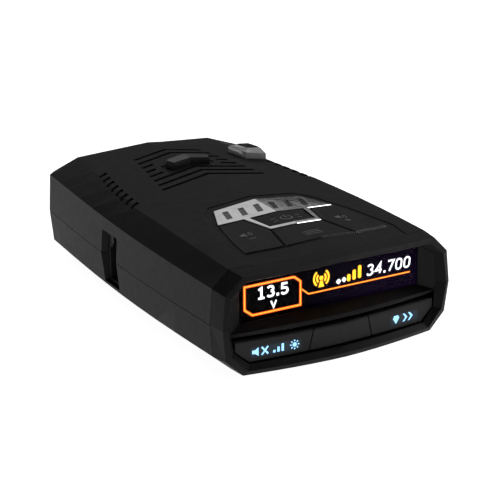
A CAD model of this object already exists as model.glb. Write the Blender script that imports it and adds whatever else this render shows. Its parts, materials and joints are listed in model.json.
"""Looks of the dash-top radar detector.

Metres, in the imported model's frame: +X right, +Y towards the windshield, +Z up.
"""
import json
from math import cos, pi, radians, sin

import bpy
from mathutils import Matrix, Vector


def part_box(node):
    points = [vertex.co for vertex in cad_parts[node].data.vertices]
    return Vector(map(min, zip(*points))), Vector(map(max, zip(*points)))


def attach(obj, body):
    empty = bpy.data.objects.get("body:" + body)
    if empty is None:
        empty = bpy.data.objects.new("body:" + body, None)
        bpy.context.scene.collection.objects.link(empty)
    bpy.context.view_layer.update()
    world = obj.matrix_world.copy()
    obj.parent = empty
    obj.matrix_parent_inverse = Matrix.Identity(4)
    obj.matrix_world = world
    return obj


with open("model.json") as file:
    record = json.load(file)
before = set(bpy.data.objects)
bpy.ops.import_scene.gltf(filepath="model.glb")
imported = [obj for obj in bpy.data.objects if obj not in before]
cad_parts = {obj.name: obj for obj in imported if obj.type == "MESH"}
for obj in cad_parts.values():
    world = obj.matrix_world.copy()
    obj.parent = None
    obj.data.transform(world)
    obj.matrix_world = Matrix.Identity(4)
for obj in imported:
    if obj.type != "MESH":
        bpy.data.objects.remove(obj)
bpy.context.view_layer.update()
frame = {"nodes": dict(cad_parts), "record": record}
MM = 0.001
nodes = frame["nodes"]
slot_of = {part["node"]: part["material_slot"] for part in frame["record"]["subparts"]}


# ---------------------------------------------------------------- camera
def make_camera(place, azimuth, elevation, roll, lens):
    """Angles are in degrees, the lens in millimetres; azimuth 0 looks straight at the display."""
    a, e, r = radians(azimuth), radians(elevation), radians(roll)
    back = Vector((sin(a) * cos(e), -cos(a) * cos(e), sin(e)))
    right = Vector((cos(a), sin(a), 0))
    up = back.cross(right)
    x_axis = cos(r) * right + sin(r) * up
    y_axis = -sin(r) * right + cos(r) * up
    turn = Matrix((x_axis, y_axis, back)).transposed().to_4x4()
    data = bpy.data.cameras.new("camera")
    data.lens = lens
    data.sensor_width = 36
    data.clip_start = 0.01
    camera = bpy.data.objects.new("camera", data)
    camera.matrix_world = Matrix.Translation(place) @ turn
    bpy.context.collection.objects.link(camera)
    bpy.context.scene.camera = camera


make_camera(place=(-0.193698, -0.343737, 0.148286), azimuth=-29.989, elevation=18.998, roll=-0.496,
            lens=102.545)


# ---------------------------------------------------------------- materials
class Nodes:
    """Short names for building one material."""

    def __init__(self, name):
        self.material = bpy.data.materials.new(name)
        self.material.use_nodes = True
        self.tree = self.material.node_tree
        self.tree.nodes.clear()
        self.out = self.add("ShaderNodeOutputMaterial")
        self.coords = self.add("ShaderNodeTexCoord").outputs["Object"]

    def add(self, kind, **values):
        node = self.tree.nodes.new(kind)
        for key, value in values.items():
            setattr(node, key, value)
        return node

    def link(self, source, target):
        self.tree.links.new(source, target)

    def put(self, socket, value):
        if isinstance(value, bpy.types.NodeSocket):
            self.link(value, socket)
        else:
            socket.default_value = value

    def stretched(self, scale):
        node = self.add("ShaderNodeMapping")
        node.inputs["Scale"].default_value = scale
        self.link(self.coords, node.inputs["Vector"])
        return node.outputs["Vector"]

    def noise(self, scale, detail=2.0, rough=0.5, stretch=None):
        node = self.add("ShaderNodeTexNoise")
        node.inputs["Scale"].default_value = scale
        node.inputs["Detail"].default_value = detail
        node.inputs["Roughness"].default_value = rough
        self.link(self.stretched(stretch) if stretch else self.coords, node.inputs["Vector"])
        return node.outputs["Fac"]

    def cells(self, scale):
        node = self.add("ShaderNodeTexVoronoi")
        node.inputs["Scale"].default_value = scale
        self.link(self.coords, node.inputs["Vector"])
        return node.outputs["Distance"]

    def math(self, kind, a, b):
        node = self.add("ShaderNodeMath", operation=kind)
        self.put(node.inputs[0], a)
        self.put(node.inputs[1], b)
        return node.outputs[0]

    def vector(self, kind, a, b=None):
        node = self.add("ShaderNodeVectorMath", operation=kind)
        self.put(node.inputs[0], a)
        if b is not None:
            self.put(node.inputs[1], b)
        return node.outputs["Value" if kind in ("LENGTH", "DOT_PRODUCT") else "Vector"]

    def axes(self, source):
        node = self.add("ShaderNodeSeparateXYZ")
        self.link(source, node.inputs[0])
        return node.outputs

    def ramp(self, fac, low, high, to_low=0.0, to_high=1.0, curve="SMOOTHSTEP"):
        node = self.add("ShaderNodeMapRange", interpolation_type=curve)
        self.link(fac, node.inputs["Value"])
        for socket, value in zip(node.inputs[1:5], (low, high, to_low, to_high)):
            socket.default_value = value
        return node.outputs["Result"]

    def mix(self, fac, a, b):
        node = self.add("ShaderNodeMix", data_type="RGBA")
        self.put(node.inputs["Factor"], fac)
        self.put(node.inputs["A"], a)
        self.put(node.inputs["B"], b)
        return node.outputs["Result"]

    def bump(self, height, strength, distance):
        node = self.add("ShaderNodeBump")
        node.inputs["Strength"].default_value = strength
        node.inputs["Distance"].default_value = distance
        self.link(height, node.inputs["Height"])
        return node.outputs["Normal"]

    def edge_wear(self, radius=0.00035):
        """White on rounded-off edges: where a rounded normal leaves the true one."""
        bevel = self.add("ShaderNodeBevel", samples=6)
        bevel.inputs["Radius"].default_value = radius
        true_normal = self.add("ShaderNodeNewGeometry").outputs["True Normal"]
        return self.ramp(self.vector("DOT_PRODUCT", bevel.outputs["Normal"], true_normal), 0.995, 0.9)

    def shader(self, color, rough, normal=None, **values):
        node = self.add("ShaderNodeBsdfPrincipled")
        self.put(node.inputs["Base Color"], color)
        self.put(node.inputs["Roughness"], rough)
        for key, value in values.items():
            self.put(node.inputs[key.replace("_", " ")], value)
        if normal is not None:
            self.link(normal, node.inputs["Normal"])
        self.link(node.outputs[0], self.out.inputs["Surface"])
        return node


def rgba(color, gain=1.0):
    return tuple(c * gain for c in color[:3]) + (1.0,)


def moulded_nodes(name, color, rough, grain=3200, relief=0.35, specular=0.35, wear=0.5, shine=0.0):
    """Moulded plastic: spark-eroded grain, uneven gloss, handled edges and a trace of dust."""
    m = Nodes(name)
    fine = m.noise(grain, 3)
    broad = m.noise(70, 3, 0.6)
    patch = m.noise(420, 2)
    base = m.mix(m.ramp(broad, 0.35, 0.7), rgba(color, 0.98), rgba(color, 1.03))
    dust = m.ramp(m.noise(5200, 1), 0.70, 0.78, 0.0, 0.25)
    base = m.mix(dust, base, rgba(color, 1.9))
    edge = m.edge_wear()
    worn = rgba([c * 1.6 + 0.008 for c in color])
    base = m.mix(m.math("MULTIPLY", edge, wear), base, worn)
    gloss = m.ramp(patch, 0.3, 0.75, rough - 0.02, rough + 0.02)
    gloss = m.math("SUBTRACT", gloss, m.math("MULTIPLY", edge, 0.12))
    if shine:
        specular = m.ramp(edge, 0.2, 0.8, specular, shine)
    surface = m.shader(base, gloss, m.bump(fine, relief, 0.00006), Specular_IOR_Level=specular)
    return m, surface


def moulded(name, color, rough, **options):
    m, _ = moulded_nodes(name, color, rough, **options)
    return m.material


def halo_plastic(name, color, rough, centre, half, tint, reach=0.0013, strength=0.03):
    """Moulded button face that its light guide makes glow softly round the lit sign."""
    m, surface = moulded_nodes(name, color, rough, specular=0.12)
    offset = m.vector("ABSOLUTE", m.vector("SUBTRACT", m.coords, centre))
    outside = m.vector("MAXIMUM", m.vector("SUBTRACT", offset, half), (0, 0, 0))
    fade = m.ramp(m.vector("LENGTH", outside), 0.0, reach, strength, 0.0, curve="SMOOTHERSTEP")
    m.put(surface.inputs["Emission Color"], rgba(tint))
    m.put(surface.inputs["Emission Strength"], fade)
    return m.material


def glossy(name, color, rough=0.14, coat=0.3):
    """Polished plastic or lacquer with faint waviness and hairline scuffs."""
    m = Nodes(name)
    wave = m.noise(160, 2)
    scuff = m.noise(900, 4, 0.7, stretch=(1, 0.12, 1))
    base = m.mix(m.ramp(wave, 0.3, 0.7), rgba(color, 0.94), rgba(color, 1.08))
    gloss = m.ramp(scuff, 0.45, 0.8, rough * 0.7, rough * 1.9)
    m.shader(base, gloss, m.bump(wave, 0.05, 0.0001), Coat_Weight=coat, Coat_Roughness=0.06,
             Specular_IOR_Level=0.4)
    return m.material


def metal(name, color, rough=0.25, stretch=(1, 8, 1), grain=1800, relief=0.08):
    """Plated, brushed or cast metal: directional grain, tarnish patches, brighter edges."""
    m = Nodes(name)
    brush = m.noise(grain, 3, stretch=stretch)
    stain = m.noise(260, 4, 0.6)
    base = m.mix(m.ramp(stain, 0.4, 0.75), rgba(color), rgba(color, 0.82))
    bright = rgba([min(1.0, c * 1.2) for c in color])
    base = m.mix(m.math("MULTIPLY", m.edge_wear(0.0002), 0.4), base, bright)
    gloss = m.ramp(brush, 0.3, 0.7, rough * 0.75, rough * 1.3)
    m.shader(base, gloss, m.bump(brush, relief, 0.00003), Metallic=1.0)
    return m.material


def circuit(name, color, copper):
    """Solder mask over copper tracks, with vias."""
    m = Nodes(name)
    tracks = m.add("ShaderNodeTexBrick")
    tracks.inputs["Scale"].default_value = 330
    tracks.inputs["Mortar Size"].default_value = 0.09
    tracks.inputs["Mortar Smooth"].default_value = 0.2
    tracks.inputs["Brick Width"].default_value = 1.7
    tracks.inputs["Row Height"].default_value = 0.42
    m.link(m.coords, tracks.inputs["Vector"])
    vias = m.ramp(m.cells(420), 0.18, 0.14)
    base = m.mix(tracks.outputs["Fac"], rgba(color), rgba(color, 1.7))
    base = m.mix(vias, base, rgba(copper))
    base = m.mix(m.ramp(m.noise(240, 3), 0.45, 0.8, 0, 0.4), base, rgba(color, 0.6))
    gloss = m.ramp(m.noise(500), 0.3, 0.7, 0.25, 0.4)
    m.shader(base, gloss, m.bump(tracks.outputs["Fac"], 0.2, 0.00003), Coat_Weight=0.3,
             Coat_Roughness=0.15)
    return m.material


def clear(name, color, rough, ior=1.49, streaks=0.1, specular=0.5, passing=1.0):
    """Clear moulded acrylic: flow marks and fine scuffs in an otherwise smooth surface."""
    m = Nodes(name)
    flow = m.noise(300, 2, stretch=(1, 0.3, 1))
    scuff = m.noise(1500, 4, 0.7, stretch=(0.2, 1, 1))
    gloss = m.ramp(scuff, 0.5, 0.85, rough, rough * 2 + 0.02)
    m.shader(rgba(color), gloss, m.bump(flow, streaks, 0.0001), Transmission_Weight=passing, IOR=ior,
             Specular_IOR_Level=specular)
    return m.material


def lit(name, color, strength, base=(0.02, 0.02, 0.02), front_only=False):
    """A lit film or light guide, slightly uneven; front_only leaves its sides and back dark."""
    m = Nodes(name)
    grain = m.noise(2600, 2)
    glow = m.mix(m.ramp(grain, 0.3, 0.7), rgba(color, 0.9), rgba(color, 1.0))
    if front_only:
        facing = m.axes(m.add("ShaderNodeNewGeometry").outputs["Normal"])
        strength = m.ramp(facing["Y"], -0.5, -0.8, 0.0, strength)
    m.shader(rgba(base), m.ramp(grain, 0.3, 0.7, 0.35, 0.5), Specular_IOR_Level=0.1, Emission_Color=glow,
             Emission_Strength=strength)
    return m.material


def backlit(name, color, tint, strength):
    """The dark display panel, whose backlight leaks more towards the right and the foot."""
    m = Nodes(name)
    spot = m.axes(m.coords)
    across = m.ramp(spot["X"], -0.016, 0.022)
    down = m.ramp(spot["Z"], 0.025, 0.012, 0.45, 1.0)
    leak = m.math("MULTIPLY", across, down)
    leak = m.math("MULTIPLY", leak, m.ramp(m.noise(900), 0.3, 0.7, 0.9, 1.0))
    m.shader(rgba(color), 0.6, Specular_IOR_Level=0.02, Emission_Color=rgba(tint),
             Emission_Strength=m.math("MULTIPLY", leak, strength))
    return m.material


def woven(name, color, scale=1500):
    """Pressed paper or foam: fibres and open cells."""
    m = Nodes(name)
    fibre = m.noise(scale, 6, 0.75)
    cell = m.cells(scale * 0.7)
    base = m.mix(m.ramp(fibre, 0.35, 0.7), rgba(color, 0.6), rgba(color, 1.6))
    gloss = m.ramp(fibre, 0.3, 0.7, 0.8, 0.95)
    m.shader(base, gloss, m.bump(cell, 0.5, 0.00012), Specular_IOR_Level=0.2)
    return m.material


BLUE = (0.32, 0.66, 1.0)
FRONT_KEY = (0.017, 0.017, 0.018)
# by material slot, or by node where one node differs from the rest of its slot
look = {
    "case_top": moulded("case_top_plastic", (0.0125, 0.0125, 0.013), 0.5, specular=0.09),
    "case_bottom": moulded("case_bottom_plastic", (0.0085, 0.0085, 0.009), 0.5, specular=0.07),
    "bezel": moulded("bezel_plastic", (0.0095, 0.0095, 0.01), 0.48, specular=0.08),
    "button": moulded("button_plastic", (0.0085, 0.0085, 0.009), 0.4, specular=0.08, shine=1.0),
    "front_centre_panel": moulded("blank_plastic", FRONT_KEY, 0.42, specular=0.12),
    "release": moulded("release_plastic", (0.02, 0.02, 0.021), 0.3, grain=4200, relief=0.15,
                       specular=0.42),
    "badge": metal("polished_plate", (0.80, 0.79, 0.80), 0.11, stretch=(1, 1, 1), grain=700,
                   relief=0.03),
    "gloss_black": glossy("gloss_black", (0.006, 0.006, 0.007), 0.2, coat=0.0),
    "window": clear("display_acrylic", (0.93, 0.92, 0.95), 0.0, ior=1.06, streaks=0.002,
                    specular=0.06),
    "panel": backlit("panel_backlight", (0.0008, 0.0006, 0.001), (0.42, 0.16, 1.0), 0.009),
    "flex": glossy("amber_film", (0.35, 0.13, 0.02), 0.25),
    "blue_light": lit("lit_sign", BLUE, 1.7, (0.02, 0.03, 0.04), front_only=True),
    "lamp": lit("lamp_face", (0.75, 0.88, 1.0), 0.05, (0.1, 0.1, 0.1), front_only=True),
    "board": circuit("green_board", (0.006, 0.05, 0.022), (0.7, 0.45, 0.2)),
    "rf_board": circuit("microwave_board", (0.06, 0.08, 0.02), (0.8, 0.6, 0.28)),
    "switch": metal("plated_switch", (0.62, 0.62, 0.64)),
    "steel": metal("zinc_steel", (0.5, 0.5, 0.52), 0.28, stretch=(1, 1, 4)),
    "socket": moulded("socket_plastic", (0.016, 0.016, 0.017), 0.5),
    "basket": metal("painted_basket", (0.10, 0.10, 0.11), 0.45, relief=0.15),
    "cone": woven("paper_cone", (0.012, 0.012, 0.012)),
    "magnet": metal("ferrite", (0.12, 0.12, 0.13), 0.5, grain=900, relief=0.3),
    "gasket": woven("foam_gasket", (0.012, 0.012, 0.012), 2600),
    "clear_lens": clear("lens_acrylic", (0.98, 0.985, 0.99), 0.08, passing=0.35),
    "dark_window": moulded("infrared_filter", (0.014, 0.0015, 0.002), 0.3, relief=0.05,
                           specular=0.12),
    "sensor": glossy("dark_epoxy", (0.02, 0.01, 0.02), 0.2),
    "horn": metal("cast_horn", (0.66, 0.67, 0.69), 0.35, stretch=(1, 1, 1), relief=0.25),
    "chip": moulded("moulded_chip", (0.012, 0.012, 0.012), 0.6, grain=6000),
    "shield": metal("tinned_shield", (0.66, 0.67, 0.69), 0.22),
    "capacitor": metal("sleeved_can", (0.42, 0.43, 0.48), 0.3, stretch=(1, 1, 6)),
    "ceramic": glossy("patch_ceramic", (0.40, 0.32, 0.20), 0.35, coat=0.1),
    "jack": moulded("jack_plastic", (0.010, 0.010, 0.0105), 0.45),
    "contacts": metal("gold_contacts", (0.83, 0.60, 0.25), 0.2),
}


def sign_box(light_guide, margin=0.001):
    """Middle and half size of a lit sign, drawn in by a margin and made deep enough for its key."""
    lo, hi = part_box(light_guide)
    return (lo + hi) / 2, (hi - lo) / 2 + Vector((-margin, 0.01, -margin))


for key in ("left_button", "right_button"):
    middle, half = sign_box(key + "_light")
    look[key] = halo_plastic(key + "_plastic", FRONT_KEY, 0.42, middle, half, BLUE)

# radius of the rounded edges, in millimetres, on the parts whose edges show
ROUNDING = {
    "top_case": 0.22, "bottom_case": 0.22, "front_bezel": 0.2,
    "left_button": 0.16, "front_centre_panel": 0.16, "right_button": 0.16,
    "volume_down_button": 0.1, "menu_button": 0.1, "volume_up_button": 0.1, "power_button": 0.1,
    "badge_plate": 0.1, "release_button": 0.25, "laser_lens_block": 0.22, "laser_lens_cap": 0.1,
    "power_jack": 0.15,
}
WELD_GAP = 0.002


def round_edges(thing, radius):
    weld = thing.modifiers.new("weld", "WELD")
    weld.merge_threshold = WELD_GAP * MM
    bevel = thing.modifiers.new("round", "BEVEL")
    bevel.limit_method = "ANGLE"
    bevel.angle_limit = radians(20)
    bevel.width = radius * MM
    bevel.segments = 2
    bevel.use_clamp_overlap = True


for name, thing in nodes.items():
    surface = look.get(name) or look[slot_of[name]]
    if not thing.material_slots:
        thing.data.materials.append(surface)
    for held in thing.material_slots:
        held.material = surface
    if name in ROUNDING:
        round_edges(thing, ROUNDING[name])


# ---------------------------------------------------------------- thin pieces
def add_piece(name, vertices, faces, material, body):
    mesh = bpy.data.meshes.new(name)
    mesh.from_pydata(vertices, [], faces)
    mesh.validate()
    mesh.update()
    thing = bpy.data.objects.new(name, mesh)
    bpy.context.collection.objects.link(thing)
    mesh.materials.append(material)
    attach(thing, body)


class Flat:
    """Closed thin shapes drawn in a plane and placed by a function (u, v, depth) -> point."""

    MITRE_LIMIT = 0.35

    def __init__(self):
        self.shapes = []

    def polygon(self, points):
        area = sum(a[0] * b[1] - b[0] * a[1] for a, b in zip(points, points[1:] + points[:1]))
        self.shapes.append(points if area > 0 else points[::-1])
        return self

    def circle(self, centre, radius, count=24):
        turns = [2 * pi * i / count for i in range(count)]
        return self.polygon([(centre[0] + radius * cos(t), centre[1] + radius * sin(t)) for t in turns])

    def stroke(self, points, width, closed=False):
        """A ribbon with mitred corners."""
        count = len(points)
        left, right = [], []
        for i, p in enumerate(points):
            before = points[i - 1] if (i > 0 or closed) else None
            after = points[(i + 1) % count] if (i < count - 1 or closed) else None
            ways = []
            if before is not None:
                ways.append((Vector(p) - Vector(before)).normalized())
            if after is not None:
                ways.append((Vector(after) - Vector(p)).normalized())
            way = sum(ways, Vector((0, 0))).normalized()
            side = Vector((-way.y, way.x))
            spread = max(self.MITRE_LIMIT, side.dot(Vector((-ways[0].y, ways[0].x))))
            left.append(Vector(p) + side * width / 2 / spread)
            right.append(Vector(p) - side * width / 2 / spread)
        for i in range(count if closed else count - 1):
            k = (i + 1) % count
            self.polygon([tuple(right[i]), tuple(right[k]), tuple(left[k]), tuple(left[i])])
        return self

    def build(self, name, place, material, body, slot, thick):
        vertices, faces = [], []
        for shape in self.shapes:
            start, count = len(vertices), len(shape)
            vertices += [place(u, v, 0.0) for u, v in shape] + [place(u, v, thick) for u, v in shape]
            faces.append([start + count + i for i in range(count)])
            faces.append([start + i for i in reversed(range(count))])
            for i in range(count):
                k = (i + 1) % count
                faces.append([start + i, start + k, start + count + k, start + count + i])
        add_piece(name, vertices, faces, material, body)


def bow(cx, cy, rx, ry, start, end, count=8):
    """Points along an ellipse, between two angles in degrees."""
    angles = [radians(start + (end - start) * i / count) for i in range(count + 1)]
    return [(cx + rx * cos(a), cy + ry * sin(a)) for a in angles]


def arc(centre, radius, start, end, count=10, widen=1.0):
    return bow(centre[0], centre[1], radius * widen, radius, start, end, count)


# digits as lines in a cell 0.6 wide and 1 high
DIGIT_W, POINT_W, SPACE_W = 0.6, 0.2, 0.12
DIGITS = {
    "0": [bow(0.3, 0.68, 0.23, 0.25, 0, 180) + bow(0.3, 0.32, 0.23, 0.25, 180, 360) + [(0.53, 0.68)]],
    "1": [[(0.10, 0.78), (0.32, 0.93), (0.32, 0.06)], [(0.08, 0.06), (0.54, 0.06)]],
    "3": [bow(0.27, 0.72, 0.22, 0.21, 155, -80), bow(0.27, 0.29, 0.25, 0.22, 80, -155)],
    "4": [[(0.43, 0.05), (0.43, 0.93), (0.05, 0.32), (0.57, 0.32)]],
    "5": [[(0.51, 0.93), (0.13, 0.93), (0.11, 0.56)] + bow(0.28, 0.32, 0.25, 0.26, 110, -150)],
    "7": [[(0.05, 0.93), (0.55, 0.93), (0.22, 0.05)]],
}


def number(text, x0, x1, z0, z1, width, slant=0.0):
    """Digits that fill the stretch from x0 to x1, with a square decimal point."""
    flat = Flat()
    cells = [(POINT_W if c == "." else DIGIT_W) + SPACE_W for c in text]
    unit = (x1 - x0) / (sum(cells) - SPACE_W)
    x = x0
    for c, cell in zip(text, cells):
        if c == ".":
            r = width * 0.62
            near, far, top = x + r * 0.1, x + r * 2.1, z0 + r * 2
            flat.polygon([(near, z0), (far, z0), (far, top), (near, top)])
        else:
            for line in DIGITS[c]:
                points = [(x + (u + slant * (v - 0.5)) * unit, z0 + v * (z1 - z0)) for u, v in line]
                flat.stroke(points, width)
        x += cell * unit
    return flat


# ---------------------------------------------------------------- readout on the display panel
# millimetres: x across and z up
panel_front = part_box("display_panel")[0].y
window_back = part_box("display_window")[1].y
READOUT_Y = panel_front - 0.004 * MM
READOUT_T = (panel_front - window_back) / MM * 0.4
FRAME = [(-25.75, 21.5), (-10.9, 21.55), (-8.95, 20.0), (-8.95, 13.45), (-23.45, 13.45), (-25.75, 15.25)]
LEAD = [(-8.6, 17.75), (-6.45, 15.98), (26.15, 16.03)]


def on_panel(u, v, depth):
    return (u * MM, READOUT_Y - depth * MM, v * MM)


def show(flat, name, material, thick=READOUT_T):
    flat.build("readout_" + name, on_panel, material, "housing", "panel", thick)


def signal_sign():
    """A mast with waves on both sides."""
    top = (-2.5, 19.65)
    sign = Flat().polygon([(-2.85, 18.9), (-2.15, 18.9), (-1.6, 17.15), (-3.4, 17.15)]).circle(top, 0.62)
    for middle in (180, 0):
        for radius, half in ((1.35, 46), (2.3, 52)):
            sign.stroke(arc(top, radius, middle - half, middle + half), 0.55)
    return sign


def strength_dots():
    dots = Flat()
    r = 0.78
    for x, z in ((2.9, 17.62), (4.65, 17.84)):
        dots.polygon([(x - r, z), (x, z - r), (x + r, z), (x, z + r)])
    return dots


def strength_bars():
    bars = Flat()
    half, tip = 0.52, 0.3
    for x, foot, top in ((6.15, 17.0, 19.15), (7.85, 17.15, 20.1), (9.6, 17.3, 21.05)):
        bars.polygon([(x - half, foot + tip), (x, foot), (x + half, foot + tip),
                      (x + half, top - tip), (x, top), (x - half, top - tip)])
    return bars


amber = lit("amber_pixels", (1.0, 0.42, 0.03), 2.0)
red_glow = lit("red_pixels", (1.0, 0.085, 0.012), 1.3)
yellow = lit("yellow_pixels", (1.0, 0.50, 0.02), 2.4)
white = lit("white_pixels", (0.95, 0.97, 1.0), 2.2)

for name, points, closed, glow_w, core_w in (("frame", FRAME, True, 0.78, 0.34),
                                             ("line", LEAD, False, 0.5, 0.26)):
    show(Flat().stroke(points, glow_w, closed), name + "_glow", red_glow, READOUT_T * 0.5)
    show(Flat().stroke(points, core_w, closed), name, amber)
show(number("13.5", -22.0, -12.6, 17.4, 20.6, 0.6), "voltage", white)
show(Flat().stroke([(-17.9, 16.3), (-17.1, 14.5), (-16.3, 16.3)], 0.45), "unit", white)
show(number("34.700", 11.95, 26.2, 17.35, 20.65, 0.5, slant=0.08), "frequency", white)
show(signal_sign(), "signal_sign", yellow)
show(strength_dots(), "strength_dots", white)
show(strength_bars(), "strength_bars", yellow)

# ---------------------------------------------------------------- printed signs on the roof keys
# millimetres: x across, y from the case seam towards the windshield
SEAM_TO_MIDDLE = 49.95
RIDGE_FRONT, RIDGE_RISE, RIDGE_END = 29.2, 3.9, 107
EDGE_FRONT, EDGE_SLOPE, EDGE_CROWN = 27.27, 0.0285, 0.3
HALF_FRONT, HALF_TAPER, HALF_CROWN = 30.3, 0.5, 0.35
CROWN_END = 54.0
KEY_TOP = 0.2
POWER_KEY_TOP = 0.1
PRINT_T = 0.06
PRINT_SUNK = 0.025
LINE = 0.34


def roof(x, y):
    """Height of the unsunken roof over the keypad."""
    crown = sin(pi * min(max(y, 0.0), CROWN_END) / CROWN_END)
    ridge = RIDGE_FRONT + RIDGE_RISE * y / RIDGE_END
    edge = EDGE_FRONT + EDGE_SLOPE * y + EDGE_CROWN * crown
    half = HALF_FRONT - HALF_TAPER * y / CROWN_END + HALF_CROWN * crown
    return ridge - (ridge - edge) * abs(x) / half


def print_sign(flat, name, body, key_top=KEY_TOP):
    """Prints a sign on a key whose top stands `key_top` above the roof."""
    def place(u, v, depth):
        return (u * MM, (v - SEAM_TO_MIDDLE) * MM, (roof(u, v) + key_top - PRINT_SUNK + depth) * MM)
    flat.build(name, place, print_paint, body, "release", PRINT_T)


def power_sign():
    """The power sign between two pairs of dashes."""
    sign = Flat().stroke(arc((0, 21.8), 1.35, 125, 415, 20, widen=1.25), 0.42)
    sign.stroke([(0, 21.7), (0, 23.7)], 0.42)
    for side in (-1, 1):
        for y in (20.9, 22.7):
            sign.stroke([(side * 3.0, y), (side * 4.6, y)], 0.3)
    return sign


def menu_sign():
    """Three lines, each in two halves that meet on the ridge."""
    sign = Flat()
    for line in range(3):
        y = 7.4 + 1.1 * line
        for side in (-1, 1):
            sign.stroke([(side * 0.05, y), (side * 2.6, y)], LINE)
    return sign


def volume_sign(side):
    """A loudspeaker over a minus on the left key, or over a plus on the right key."""
    x = side * 15.0 - 0.4
    sign = Flat().polygon([(x - 1.9, 16.3), (x - 1.2, 16.3), (x - 0.3, 15.6),
                           (x - 0.3, 18.2), (x - 1.2, 17.5), (x - 1.9, 17.5)])
    for radius, count in ((0.75, 6), (1.5, 8)):
        sign.stroke(arc((x - 0.1, 16.9), radius, -50, 50, count), 0.28)
    sign.stroke([(x - 0.9, 13.8), (x + 1.1, 13.8)], LINE)
    if side > 0:
        for start, end in ((12.9, 13.63), (13.97, 14.7)):
            sign.stroke([(x + 0.1, start), (x + 0.1, end)], LINE)
    return sign


print_paint = moulded("key_print", (0.17, 0.17, 0.175), 0.55, grain=5200, relief=0.2, wear=0.0)
print_sign(power_sign(), "power_sign", "power_key", POWER_KEY_TOP)
print_sign(menu_sign(), "menu_sign", "menu_key")
print_sign(volume_sign(-1), "volume_down_sign", "volume_down_key")
print_sign(volume_sign(1), "volume_up_sign", "volume_up_key")


# ---------------------------------------------------------------- floor and light
def make_floor(size=3.0, steps=8, below=0.0002):
    row = steps + 1
    vertices = [((i / steps - 0.5) * size, (k / steps - 0.5) * size, -below)
                for k in range(row) for i in range(row)]
    corners = [k * row + i for k in range(steps) for i in range(steps)]
    faces = [(c, c + 1, c + row + 1, c + row) for c in corners]
    mesh = bpy.data.meshes.new("floor")
    mesh.from_pydata(vertices, [], faces)
    floor = bpy.data.objects.new("floor", mesh)
    bpy.context.collection.objects.link(floor)
    m = Nodes("pale_floor")
    tone = m.mix(m.ramp(m.noise(6, 2), 0.3, 0.7), rgba((0.90, 0.90, 0.90)), rgba((0.93, 0.93, 0.93)))
    m.shader(tone, 0.9, Specular_IOR_Level=0.1, Emission_Color=(1, 1, 1, 1), Emission_Strength=0.95)
    mesh.materials.append(m.material)


def softbox(name, direction, distance, size, power):
    """A rectangular lamp, in watts, that faces the middle of the detector."""
    data = bpy.data.lights.new(name, "AREA")
    data.shape = "RECTANGLE"
    data.size, data.size_y = size
    data.energy = power
    light = bpy.data.objects.new(name, data)
    way = Vector(direction).normalized()
    light.location = Vector((0, 0, 0.02)) + way * distance
    light.rotation_euler = way.to_track_quat("Z", "Y").to_euler()
    bpy.context.collection.objects.link(light)


def fill_light(strength):
    world = bpy.data.worlds.new("studio")
    world.use_nodes = True
    background = world.node_tree.nodes["Background"]
    background.inputs["Color"].default_value = (1, 1, 1, 1)
    background.inputs["Strength"].default_value = strength
    bpy.context.scene.world = world


make_floor()
fill_light(0.045)
softbox("back_right_box", (0.25, 0.80, 0.62), 1.0, (1.5, 0.62), 1.5)
softbox("front_right_box", (0.75, -0.20, 0.62), 0.9, (0.5, 0.5), 3.4)
softbox("left_box", (-0.9, 0.25, 0.5), 1.0, (0.6, 0.5), 0.15)
bpy.context.scene.view_settings.view_transform = "Standard"
